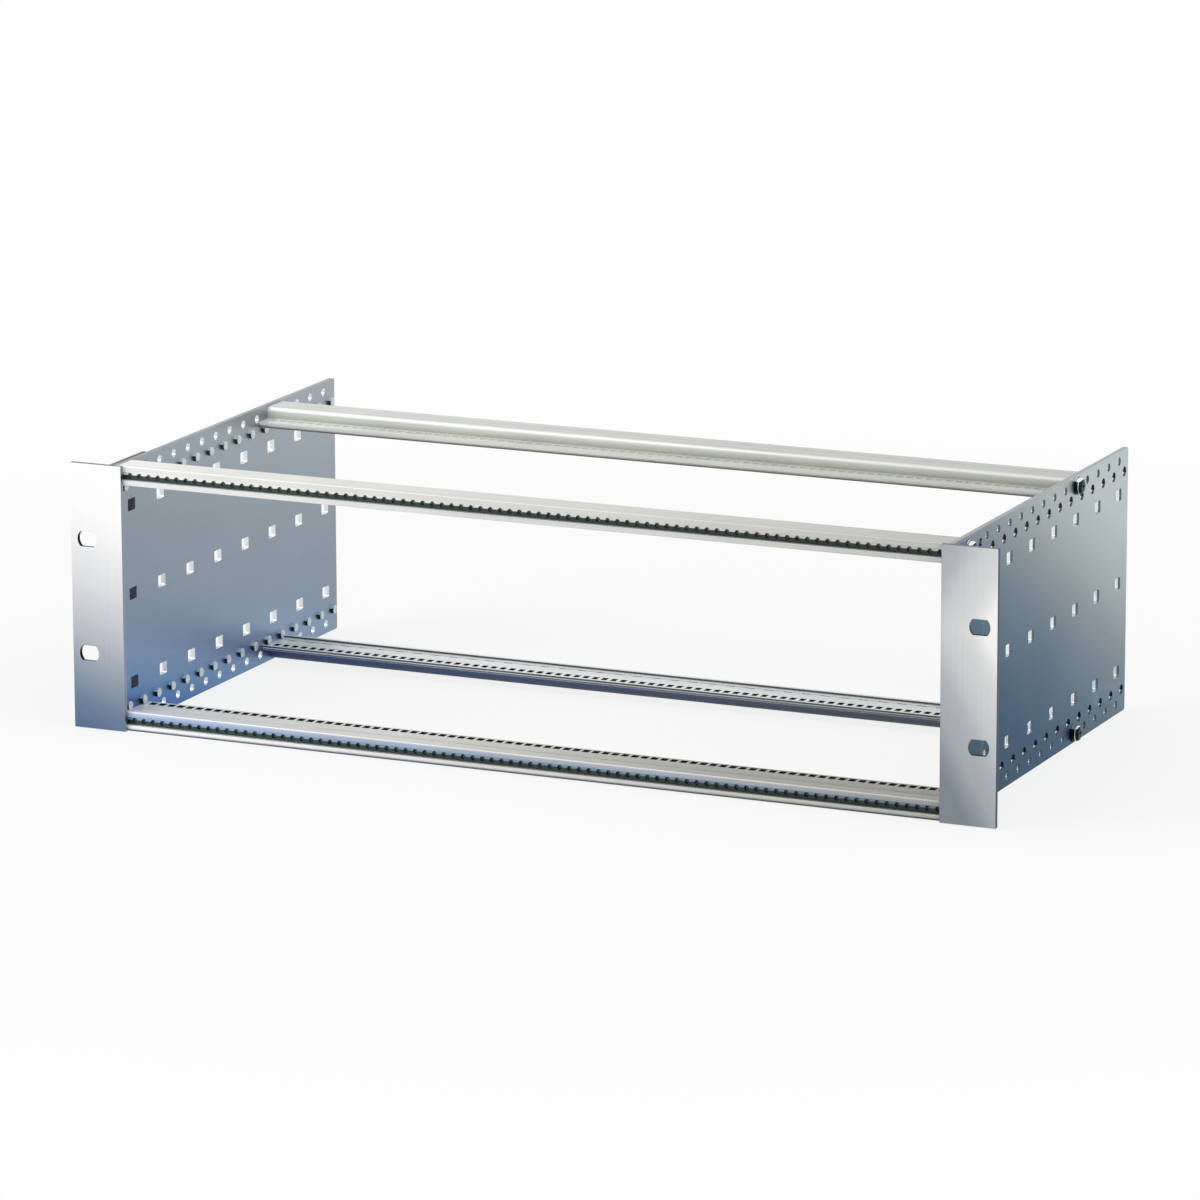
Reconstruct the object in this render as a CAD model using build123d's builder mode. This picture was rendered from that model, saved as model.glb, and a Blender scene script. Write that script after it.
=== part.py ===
from build123d import *
import os

# Open 3 U subrack frame for a 19 inch rack: two punched side panels held apart
# by four extruded rails, with a rack flange bolted to the front of each panel.
# X runs across the rack, Y from the front to the back and Z up. The origin is
# the middle of the underside.

# Rack grid
rack_unit = 44.45
units = 3
height_play = 0.8
rack_width = 482.6
rack_hole_edge = 6.35
card_pitch = 5.08
depth = 238.0

# Small rounds that repeat are drawn with few sides, to keep the solids light
round_sides = 8
pip_sides = 6

# Rack flanges, extruded with a leg that lies outside on the panel
flange_width = 27.94
flange_thickness = 2.5
leg_thickness = 2.5
leg_root = 1.0
leg_holes = 2
leg_margin = 6.7
rack_slot_edge = 8.75
rack_slot_length = 10.4
rack_slot_height = 7.6

# Side panels, punched and pressed sheet
panel_thickness = 2.5
panel_corner = 1.0
rail_end_cover = 2.54
hole_pitch = 15.0
hole_clearance = 0.2
rear_margin = 12.0
window_depth = 7.5
window_height = 6.0
pip_diameter = 4.6
pip_height = 1.8
pip_clearance = 0.1

# Rails: one section, measured inward from the panel's edge and back from the rail's face
rail_depth = 16.0
rail_height = 8.9
web_reach = 25.8
web_thickness = 2.0
nose_depth = 2.6
nose_drop = 0.9
lip = 2.2
groove_opening = 4.2
groove_height = 5.6
groove_depth = 3.0
bore_wall = 1.15
bore_clearance = 0.1
screw_drop = 5.0
face_corner = 0.7
wall_corner = 2.2
nose_corner = 0.5
mark_width = 0.5
mark_depth = 0.3

# What only the front rails have
front_slot_length = 3.5
front_slot_width = 2.6
front_slot_edge = 3.1
front_mark_line = 10.8

# What only the rear rails have
rear_rail_hole = 10
rear_drop = 0.8
rear_slot_length = 3.0
rear_slot_width = 2.2
rear_slot_wall = 2.5
rear_mark_line = 7.0
bead_depth = 1.5
bead_drop = 0.7
bead_lip = 0.6
bead_groove_height = 1.3
bead_groove_depth = 0.8

# Threaded strips in the front grooves
strip_clearance = 0.1
strip_thickness = 2.0
strip_end_gap = 1.0

# Pan head screws and their washers
screw_diameter = 4.0
head_diameter = 8.0
head_height = 2.8
head_crown = 1.4
recess_margin = 0.8
recess_width = 1.0
recess_depth = 1.6
front_screw_length = 12.0
rear_screw_length = 10.0
washer_diameter = 9.0
washer_clearance = 0.3
washer_thickness = 0.8

# Sizes and places that more than one piece shares
height = units * rack_unit - height_play
mid_z = height / 2
front = -depth / 2
opening = rack_width - 2 * flange_width
clear_width = opening + 2 * rail_end_cover
card_pitches = round(opening / card_pitch)
panel_outer = clear_width / 2 + panel_thickness
leg_outer = panel_outer + leg_thickness
panel_front = front + flange_thickness
panel_depth = depth - flange_thickness
bore_diameter = screw_diameter + bore_clearance
screw_line = rail_depth - bore_wall - bore_diameter / 2
first_hole = panel_front + screw_line
hole_diameter = screw_diameter + hole_clearance
hole_rise = mid_z - screw_drop
hole_count = 1 + int((panel_depth - screw_line - rear_margin) / hole_pitch)
pip_rise = mid_z - rail_height - pip_clearance - pip_diameter / 2
rear_hole = first_hole + rear_rail_hole * hole_pitch
rear_face = rear_hole + screw_line

middle = Plane.YZ
mid_height = Plane.XY.offset(mid_z)

os.makedirs("parts", exist_ok=True)


def write(piece, name):
    """Labels a finished piece and writes it under its own name."""
    piece.part.label = name
    export_step(piece.part, f"parts/{name}.step")


def write_twin(piece, name, about):
    """Writes and returns the piece's mirror image in that plane."""
    with BuildPart() as twin:
        mirror(piece.part, about=about)
    write(twin, name)
    return twin


# Side panels: rows of screw holes along both edges, windows between them and
# pressed pips that the rails seat on
hole_row = first_hole + (hole_count - 1) * hole_pitch / 2
window_columns = (hole_count + 1) // 2
window_row = first_hole + (window_columns - 1) * hole_pitch
inner_face = Plane((clear_width / 2, 0, mid_z), x_dir=(0, 1, 0), z_dir=(1, 0, 0))
with BuildPart() as side_panel:
    with BuildSketch(inner_face) as sheet:
        with Locations((panel_front + panel_depth / 2, 0)):
            Rectangle(panel_depth, height)
        fillet(sheet.vertices().sort_by(Axis.X)[-2:], panel_corner)
        with Locations((hole_row, 0)):
            with GridLocations(hole_pitch, 2 * hole_rise, hole_count, 2):
                RegularPolygon(hole_diameter / 2, round_sides, mode=Mode.SUBTRACT)
        with Locations((window_row, 0)):
            with GridLocations(2 * hole_pitch, rack_unit, window_columns, units):
                Rectangle(window_depth, window_height, mode=Mode.SUBTRACT)
    extrude(amount=panel_thickness)
    with BuildSketch(inner_face):
        with Locations((hole_row, 0)):
            with GridLocations(hole_pitch, 2 * pip_rise, hole_count + 1, 2):
                RegularPolygon(pip_diameter / 2, pip_sides)
    extrude(amount=-pip_height)
write(side_panel, "right_side_panel")
write_twin(side_panel, "left_side_panel", middle)

# Rack flanges: a plate across the front with the rack's slots, and a leg on the
# panel's outer face
rack_slot_x = rack_width / 2 - rack_slot_edge
rack_slot_rise = (units - 2) * rack_unit + 2 * rack_hole_edge
leg_hole_row = first_hole + (leg_holes - 1) * hole_pitch / 2
leg_reach = flange_thickness + screw_line + (leg_holes - 1) * hole_pitch + leg_margin
with BuildPart() as flange:
    with BuildSketch(Plane.XY) as section:
        with Locations((opening / 2, front)):
            Rectangle(flange_width, flange_thickness, align=Align.MIN)
        with Locations((panel_outer, front)):
            Rectangle(leg_thickness, leg_reach, align=Align.MIN)
        fillet(section.vertices().sort_by_distance((leg_outer, panel_front))[0], leg_root)
    extrude(amount=height)
    with BuildSketch(Plane((rack_slot_x, front, mid_z), x_dir=(1, 0, 0), z_dir=(0, -1, 0))):
        with GridLocations(1, rack_slot_rise, 1, 2):
            SlotOverall(rack_slot_length, rack_slot_height)
    extrude(amount=-flange_thickness, mode=Mode.SUBTRACT)
    with BuildSketch(Plane((leg_outer, leg_hole_row, mid_z), x_dir=(0, 1, 0), z_dir=(1, 0, 0))):
        with GridLocations(hole_pitch, 2 * hole_rise, leg_holes, 2):
            RegularPolygon(hole_diameter / 2, round_sides)
    extrude(amount=-leg_thickness, mode=Mode.SUBTRACT)
write(flange, "right_flange")
write_twin(flange, "left_flange", middle)


def draw_rail(section, outer):
    """Draws the section that the rails share, with its outer face that far in from the panel's edge."""
    with Locations((0, outer)):
        Rectangle(rail_depth, rail_height - outer, align=Align.MIN)
    with Locations((0, rail_height - web_thickness)):
        Rectangle(web_reach, web_thickness, align=Align.MIN)
    with Locations((0, rail_height)):
        Rectangle(nose_depth, nose_drop, align=Align.MIN)
    fillet(section.vertices().sort_by_distance((0, outer))[0], face_corner)
    fillet(section.vertices().sort_by_distance((rail_depth, outer))[0], wall_corner)
    fillet(section.vertices().sort_by_distance((0, rail_height + nose_drop))[0], nose_corner)
    with Locations((0, screw_drop)):
        Rectangle(lip, groove_opening, align=(Align.MIN, Align.CENTER), mode=Mode.SUBTRACT)
    with Locations((lip, screw_drop)):
        Rectangle(groove_depth, groove_height, align=(Align.MIN, Align.CENTER), mode=Mode.SUBTRACT)
    with Locations((screw_line, screw_drop)):
        RegularPolygon(bore_diameter / 2, round_sides, mode=Mode.SUBTRACT)


# Front rails, open at the face for the threaded strips
web_middle = rail_height - web_thickness / 2
front_slot_row = panel_front + web_reach - front_slot_edge
with BuildPart() as front_rail:
    with BuildSketch(Plane((-clear_width / 2, panel_front, 0), x_dir=(0, 1, 0), z_dir=(1, 0, 0))) as section:
        draw_rail(section, 0)
        with Locations((front_mark_line, rail_height)):
            Rectangle(mark_width, 2 * mark_depth, mode=Mode.SUBTRACT)
    extrude(amount=clear_width)
    with BuildSketch(Plane((0, front_slot_row, web_middle))):
        with GridLocations(card_pitch, 1, card_pitches, 1):
            Rectangle(front_slot_length, front_slot_width)
    extrude(amount=web_thickness, both=True, mode=Mode.SUBTRACT)
write(front_rail, "front_bottom_rail")
write_twin(front_rail, "front_top_rail", mid_height)

# Rear rails, the same section turned to face the back, with a grooved bead
# along the web's free edge
bead_start = rail_height - web_thickness + bead_lip
rear_slot_row = rear_face - rail_depth - rear_slot_wall
with BuildPart() as rear_rail:
    with BuildSketch(Plane((clear_width / 2, rear_face, 0), x_dir=(0, -1, 0), z_dir=(-1, 0, 0))) as section:
        draw_rail(section, rear_drop)
        with Locations((rear_mark_line, rear_drop), (rear_mark_line, rail_height)):
            Rectangle(mark_width, 2 * mark_depth, mode=Mode.SUBTRACT)
        with Locations((web_reach, rail_height)):
            Rectangle(bead_depth, bead_drop, align=(Align.MAX, Align.MIN))
        with Locations((web_reach, bead_start)):
            Rectangle(bead_groove_depth, bead_groove_height, align=(Align.MAX, Align.MIN), mode=Mode.SUBTRACT)
    extrude(amount=clear_width)
    with BuildSketch(Plane((0, rear_slot_row, web_middle))):
        with GridLocations(card_pitch, 1, card_pitches, 1):
            Rectangle(rear_slot_length, rear_slot_width)
    extrude(amount=web_thickness, both=True, mode=Mode.SUBTRACT)
write(rear_rail, "rear_bottom_rail")
write_twin(rear_rail, "rear_top_rail", mid_height)

# Threaded strips, held behind the lips of the front grooves
with BuildPart() as strip:
    with BuildSketch(Plane((0, panel_front + lip, screw_drop), x_dir=(1, 0, 0), z_dir=(0, 1, 0))):
        Rectangle(clear_width - 2 * strip_end_gap, groove_height - 2 * strip_clearance)
    extrude(amount=strip_thickness)
write(strip, "front_bottom_threaded_strip")
write_twin(strip, "front_top_threaded_strip", mid_height)

# Screws and washers: the front ones clamp the flange's leg and the panel to a
# rail, the rear ones the panel alone
recess_span = head_diameter - 2 * head_crown - recess_margin
screw_places = {
    "front": (leg_outer, first_hole, front_screw_length),
    "rear": (panel_outer, rear_hole, rear_screw_length),
}
for end, (seat_x, screw_y, screw_length) in screw_places.items():
    seat = Plane((seat_x, screw_y, screw_drop), x_dir=(0, 1, 0), z_dir=(1, 0, 0))
    with BuildPart() as washer:
        with BuildSketch(seat):
            RegularPolygon(washer_diameter / 2, round_sides)
            RegularPolygon((screw_diameter + washer_clearance) / 2, round_sides, mode=Mode.SUBTRACT)
        extrude(amount=washer_thickness)

    head_seat = seat.offset(washer_thickness)
    head_top = head_seat.offset(head_height)
    with BuildPart() as screw:
        with BuildSketch(head_seat):
            RegularPolygon(screw_diameter / 2, round_sides)
        extrude(amount=-screw_length)
        with BuildSketch(head_seat):
            RegularPolygon(head_diameter / 2, round_sides)
        extrude(amount=head_height)
        chamfer(screw.faces().sort_by_distance(head_top.origin)[0].edges(), head_crown)
        with BuildSketch(head_top):
            Rectangle(recess_span, recess_width)
            Rectangle(recess_width, recess_span)
        extrude(amount=-recess_depth, mode=Mode.SUBTRACT)

    for kind, piece in {"washer": washer, "screw": screw}.items():
        write(piece, f"{end}_bottom_right_{kind}")
        write_twin(piece, f"{end}_bottom_left_{kind}", middle)
        upper = write_twin(piece, f"{end}_top_right_{kind}", mid_height)
        write_twin(upper, f"{end}_top_left_{kind}", middle)
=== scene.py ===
"""Finish of an open 3 U subrack: punched side panels, rack flanges, slotted rails and fasteners.

Sizes are in millimetres, as on a drawing, except the studio's. They turn into metres where a mesh is
made, and a Vector is always in metres. X runs across the rack, Y from the front to the back and Z up.
"""

import logging
import math
from collections.abc import Callable
from dataclasses import dataclass, replace
from enum import Enum
from itertools import product
from typing import ClassVar

import bmesh
import bpy
from mathutils import Matrix, Vector


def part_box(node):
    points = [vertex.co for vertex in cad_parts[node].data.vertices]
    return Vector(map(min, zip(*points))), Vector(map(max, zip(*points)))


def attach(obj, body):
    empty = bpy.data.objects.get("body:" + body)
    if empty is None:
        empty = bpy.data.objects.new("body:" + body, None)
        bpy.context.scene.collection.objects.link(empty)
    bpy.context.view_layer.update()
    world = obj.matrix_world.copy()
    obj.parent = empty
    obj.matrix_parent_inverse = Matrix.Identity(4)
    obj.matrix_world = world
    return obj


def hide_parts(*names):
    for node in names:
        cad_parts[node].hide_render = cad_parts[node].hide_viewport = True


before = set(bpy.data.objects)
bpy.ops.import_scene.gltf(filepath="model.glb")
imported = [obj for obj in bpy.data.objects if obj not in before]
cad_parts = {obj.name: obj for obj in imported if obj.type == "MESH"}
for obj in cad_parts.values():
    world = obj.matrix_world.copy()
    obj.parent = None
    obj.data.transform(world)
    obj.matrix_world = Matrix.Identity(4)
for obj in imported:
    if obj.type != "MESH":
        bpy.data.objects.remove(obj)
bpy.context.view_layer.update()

MM = 0.001
BODY = "root"
# The width over both flanges, in metres.
RACK_WIDTH = 0.4826
# How near counts as touching, in metres.
TOUCH = 1e-6
# How far from a face's own place its neighbours are told apart, in millimetres.
HAIR = 0.02
MARGIN = 0.05
# How far a cutting tool stands clear of what it cuts, in millimetres.
CLEAR = 1.0
# Points nearer than this, in millimetres, and faces flatter than this make one.
MERGE = 0.001
FLAT = math.radians(0.5)
# Edges sharper than the first are broken, and those flatter than the second are shaded smooth.
SHARP = math.radians(35)
SMOOTH = math.radians(20)

log = logging.getLogger("subrack")

Piece = bpy.types.Object
Socket = bpy.types.NodeSocket
Face = bmesh.types.BMFace
Point = tuple[float, float, float]
Stop = tuple[float, int, int, int]
Element = Face | bmesh.types.BMEdge
Test = Callable[[Element], bool]


def metres(x: float, y: float, z: float) -> Vector:
    """Returns a point given in millimetres in metres."""
    return Vector((x, y, z)) * MM


def linear(*colour: int) -> tuple[float, ...]:
    """Turns a screen colour into the linear one that a shader takes.

    Args:
        colour: red, green and blue from 0 to 255.

    Returns:
        The linear colour with an alpha of 1.
    """
    shares = [part / 255 for part in colour]
    return (*[s / 12.92 if s <= 0.04045 else ((s + 0.055) / 1.055) ** 2.4 for s in shares], 1.0)


def out_of(face: Face) -> float:
    """Returns how far a face's middle is from the middle plane, in millimetres."""
    return abs(face.calc_center_median().x) / MM


def at_distance(out: float) -> Test:
    """Returns a test for the edges that lie at one distance from the middle plane."""
    return lambda edge: all(abs(abs(vert.co.x) - out * MM) < TOUCH for vert in edge.verts)


def along_x(length: float) -> Test:
    """Returns a test for the edges that reach further than a length along x."""
    return lambda edge: abs(edge.verts[0].co.x - edge.verts[1].co.x) > length * MM


class Side(Enum):
    """Which end of the rack a piece is at."""

    LEFT = -1
    RIGHT = 1

    @property
    def word(self) -> str:
        """Returns the side as names have it."""
        return self.name.lower()


class Edge(Enum):
    """Which edge of the side panels a rail lies along."""

    BOTTOM = "bottom"
    TOP = "top"


class Carve(Enum):
    """How one solid works on another."""

    CUT = "DIFFERENCE"
    WELD = "UNION"


class Pick(Enum):
    """What is selected in edit mode."""

    FACES = "FACE"
    EDGES = "EDGE"


class Facing(Enum):
    """Which faces have a finish's second tone, its painted light or shade."""

    INWARD = "towards the middle plane"
    SIDEWAYS = "neither to the front nor to the back"
    FORWARD = "to the front"
    UPWARD = "up"


class Axis(Enum):
    """The turn that lays an upright rod along an axis."""

    X = (0.0, math.pi / 2, 0.0)
    Y = (math.pi / 2, 0.0, 0.0)


class Bench:
    """Hand work on meshes, done with the editor's own operators."""

    @staticmethod
    def clear() -> None:
        """Deselects everything, so that the next operator acts on its own piece only."""
        bpy.ops.object.select_all(action="DESELECT")

    @staticmethod
    def hold(piece: Piece) -> None:
        """Makes a piece the only one selected, and the active one.

        Args:
            piece: the piece.
        """
        Bench.clear()
        piece.select_set(True)
        bpy.context.view_layer.objects.active = piece

    @staticmethod
    def settle(piece: Piece) -> None:
        """Puts a piece's place, turn and size into its mesh."""
        Bench.hold(piece)
        bpy.ops.object.transform_apply(location=True, rotation=True, scale=True)

    @staticmethod
    def name(piece: Piece, name: str) -> Piece:
        """Names a piece and its mesh, and returns it."""
        piece.name = piece.data.name = name
        return piece

    @staticmethod
    def block(name: str, one: Vector, other: Vector) -> Piece:
        """Adds a block between two opposite corners.

        Args:
            name: the piece's name.
            one: a corner.
            other: the corner opposite.

        Returns:
            The block, at the origin with its place in its mesh.
        """
        Bench.clear()
        size = [abs(a - b) for a, b in zip(one, other)]
        bpy.ops.mesh.primitive_cube_add(size=1, location=(one + other) / 2, scale=size)
        piece = bpy.context.object
        Bench.settle(piece)
        return Bench.name(piece, name)

    @staticmethod
    def rod(name: str, centre: Vector, axis: Axis, diameter: float, length: float, sides: int) -> Piece:
        """Adds a round rod.

        Args:
            name: the piece's name.
            centre: its middle.
            axis: the way it lies.
            diameter: its diameter.
            length: its length.
            sides: how many faces go round it.

        Returns:
            The rod, at the origin with its place in its mesh.
        """
        Bench.clear()
        bpy.ops.mesh.primitive_cylinder_add(
            vertices=sides, radius=diameter / 2 * MM, depth=length * MM, location=centre, rotation=axis.value
        )
        piece = bpy.context.object
        Bench.settle(piece)
        return Bench.name(piece, name)

    @staticmethod
    def select(piece: Piece, kind: Pick, test: Test = lambda element: True) -> None:
        """Opens a piece in edit mode with only some of its faces or edges selected.

        Args:
            piece: the piece.
            kind: whether faces or edges are selected.
            test: says which ones.
        """
        Bench.hold(piece)
        bpy.ops.object.mode_set(mode="EDIT")
        bpy.ops.mesh.select_mode(type=kind.value)
        bpy.ops.mesh.select_all(action="DESELECT")
        mesh = bmesh.from_edit_mesh(piece.data)
        for element in mesh.faces if kind is Pick.FACES else mesh.edges:
            element.select_set(test(element))
        mesh.select_flush_mode()
        bmesh.update_edit_mesh(piece.data)

    @staticmethod
    def close() -> None:
        """Leaves edit mode."""
        bpy.ops.object.mode_set(mode="OBJECT")

    @staticmethod
    def round_edges(piece: Piece, test: Test, radius: float, steps: int) -> None:
        """Rounds the edges that pass a test.

        Args:
            piece: the piece to round.
            test: says which edges are rounded.
            radius: the round's radius.
            steps: how many faces the round has.
        """
        Bench.select(piece, Pick.EDGES, test)
        bpy.ops.mesh.bevel(offset=radius * MM, offset_type="OFFSET", segments=steps, affect="EDGES")
        Bench.close()

    @staticmethod
    def apply(piece: Piece, modifier: bpy.types.Modifier) -> None:
        """Applies a modifier."""
        Bench.hold(piece)
        bpy.ops.object.modifier_apply(modifier=modifier.name)

    @staticmethod
    def repeat(piece: Piece, count: int, step: Vector) -> None:
        """Repeats a piece in a row.

        Args:
            piece: the first of the row.
            count: how many there are.
            step: from one to the next.
        """
        row = piece.modifiers.new("row", "ARRAY")
        row.count = count
        row.use_relative_offset = False
        row.use_constant_offset = True
        row.constant_offset_displace = step
        Bench.apply(piece, row)

    @staticmethod
    def carve(piece: Piece, tool: Piece, way: Carve) -> None:
        """Cuts a tool's shape from a piece or welds it on, and uses the tool up.

        Args:
            piece: the piece to work on.
            tool: the shape to cut or weld.
            way: which of the two is done.
        """
        work = piece.modifiers.new(way.name.lower(), "BOOLEAN")
        work.operation = way.value
        work.solver = "EXACT"
        work.object = tool
        Bench.apply(piece, work)
        bpy.data.objects.remove(tool)

    @staticmethod
    def smooth(piece: Piece) -> None:
        """Shades the round faces smooth."""
        Bench.hold(piece)
        bpy.ops.object.shade_smooth_by_angle(angle=SMOOTH)

    @staticmethod
    def soften(piece: Piece, width: float) -> None:
        """Breaks all sharp edges and shades the round faces smooth.

        Args:
            piece: the piece to finish.
            width: how far the break reaches from the edge.
        """
        edges = piece.modifiers.new("edges", "BEVEL")
        edges.width = width * MM
        edges.segments = 2
        edges.limit_method = "ANGLE"
        edges.angle_limit = SHARP
        Bench.apply(piece, edges)
        Bench.smooth(piece)

    @staticmethod
    def copy(piece: Piece, name: str) -> Piece:
        """Copies a piece.

        Args:
            piece: the piece to copy.
            name: the copy's name.

        Returns:
            The copy, with its own mesh.
        """
        twin = piece.copy()
        twin.data = piece.data.copy()
        bpy.context.scene.collection.objects.link(twin)
        return Bench.name(twin, name)


class Graph:
    """Adds nodes to a shader tree and wires them."""

    def __init__(self, tree: bpy.types.NodeTree) -> None:
        """Keeps the tree that the nodes go into."""
        self.tree = tree

    @classmethod
    def of(cls, owner: bpy.types.Material | bpy.types.World) -> "Graph":
        """Empties the nodes of a material or a world.

        Args:
            owner: the material or world.

        Returns:
            Its nodes.
        """
        owner.use_nodes = True
        owner.node_tree.nodes.clear()
        return cls(owner.node_tree)

    def add(self, kind: str, inputs: dict | None = None, **settings: object) -> bpy.types.Node:
        """Adds a node.

        Args:
            kind: the node's type.
            inputs: values or other nodes' outputs for its sockets, by name or number.
            settings: the node's own settings.

        Returns:
            The node.
        """
        node = self.tree.nodes.new(kind)
        for key, value in settings.items():
            setattr(node, key, value)
        for key, value in (inputs or {}).items():
            if isinstance(value, Socket):
                self.tree.links.new(value, node.inputs[key])
            else:
                node.inputs[key].default_value = value
        return node

    def math(self, operation: str, *values: object) -> Socket:
        """Returns the result of a Math node on those values."""
        return self.add("ShaderNodeMath", dict(enumerate(values)), operation=operation).outputs[0]

    def blend(self, share: object, one: object, other: object) -> Socket:
        """Returns two colours mixed, where a share of 0 is the first alone."""
        return self.add("ShaderNodeMix", {"Factor": share, 6: one, 7: other}, data_type="RGBA").outputs[2]

    def scale(self, colour: object, share: object) -> Socket:
        """Returns a colour times a share."""
        return self.add("ShaderNodeVectorMath", {0: colour, "Scale": share}, operation="SCALE").outputs[0]

    def parts(self, vector: object) -> bpy.types.NodeOutputs:
        """Returns a vector's X, Y and Z."""
        return self.add("ShaderNodeSeparateXYZ", {0: vector}).outputs

    def output(self, kind: str, surface: Socket) -> None:
        """Ends the tree in an output node."""
        self.add(kind, {"Surface": surface})


@dataclass(frozen=True)
class Pattern:
    """A node group of noise that all finishes share.

    Attributes:
        name: the group's name.
        low: the noise that gives 0.
        high: the noise that gives 1.
        detail: how many finer layers the noise has.
        roughness: how strong the finer layers are.
        distortion: how far the noise is warped.
    """

    SPOTS: ClassVar[str] = "Spots per metre"
    SHARE: ClassVar[str] = "Share"

    name: str
    low: float
    high: float
    detail: float
    roughness: float = 0.5
    distortion: float = 0.0

    def build(self) -> None:
        """Builds the group, which reads Object coordinates."""
        tree = bpy.data.node_groups.new(self.name, "ShaderNodeTree")
        tree.interface.new_socket(name=self.SPOTS, in_out="INPUT", socket_type="NodeSocketVector")
        tree.interface.new_socket(name=self.SHARE, in_out="OUTPUT", socket_type="NodeSocketFloat")
        graph = Graph(tree)
        spots = graph.add("NodeGroupInput").outputs[self.SPOTS]
        place = graph.add("ShaderNodeTexCoord").outputs["Object"]
        scaled = graph.add("ShaderNodeVectorMath", {0: place, 1: spots}, operation="MULTIPLY")
        settings = {"Detail": self.detail, "Roughness": self.roughness, "Distortion": self.distortion}
        noise = graph.add("ShaderNodeTexNoise", {"Vector": scaled.outputs[0], "Scale": 1.0, **settings})
        spread = graph.add("ShaderNodeMapRange", {0: noise.outputs["Fac"], 1: self.low, 2: self.high})
        graph.add("NodeGroupOutput", {self.SHARE: spread.outputs[0]})

    def lay(self, graph: Graph, spots: Point) -> Socket:
        """Adds the group to a material and returns its share, from 0 to 1."""
        group = bpy.data.node_groups[self.name]
        return graph.add("ShaderNodeGroup", {self.SPOTS: spots}, node_tree=group).outputs[self.SHARE]


GRAIN = Pattern("drawn grain", low=0.25, high=0.75, detail=3.0, roughness=0.65)
MOTTLE = Pattern("hand mottle", low=0.3, high=0.7, detail=2.0, distortion=0.6)


@dataclass(frozen=True)
class Tone:
    """Colours of a face along a slanted height.

    Attributes:
        stops: heights in millimetres, each with its red, green and blue, from low to high.
        slant: how much of x, y and z adds up to the height.
        fold: the z, in millimetres, above and below which the tone mirrors itself.
    """

    stops: tuple[Stop, ...]
    slant: Point = (0.0, 0.0, 1.0)
    fold: float | None = None

    def wire(self, graph: Graph, place: Socket) -> Socket:
        """Adds the tone to a material.

        Args:
            graph: the material's nodes.
            place: the point, in Object coordinates.

        Returns:
            The colour.
        """
        low, high = self.stops[0][0], self.stops[-1][0]
        if self.fold is not None:
            parts = graph.parts(place)
            away = graph.math("ABSOLUTE", graph.math("SUBTRACT", parts["Z"], self.fold * MM))
            place = graph.add("ShaderNodeCombineXYZ", {0: parts["X"], 1: parts["Y"], 2: away}).outputs[0]
        height = graph.add("ShaderNodeVectorMath", {0: place, 1: self.slant}, operation="DOT_PRODUCT")
        share = graph.add("ShaderNodeMapRange", {0: height.outputs["Value"], 1: low * MM, 2: high * MM})
        ramp = graph.add("ShaderNodeValToRGB", {0: share.outputs[0]})
        points = ramp.color_ramp.elements
        while len(points) < len(self.stops):
            points.new(0.5)
        for point, (at, *colour) in zip(points, self.stops):
            point.position = (at - low) / (high - low)
            point.color = linear(*colour)
        return ramp.outputs["Color"]


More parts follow.
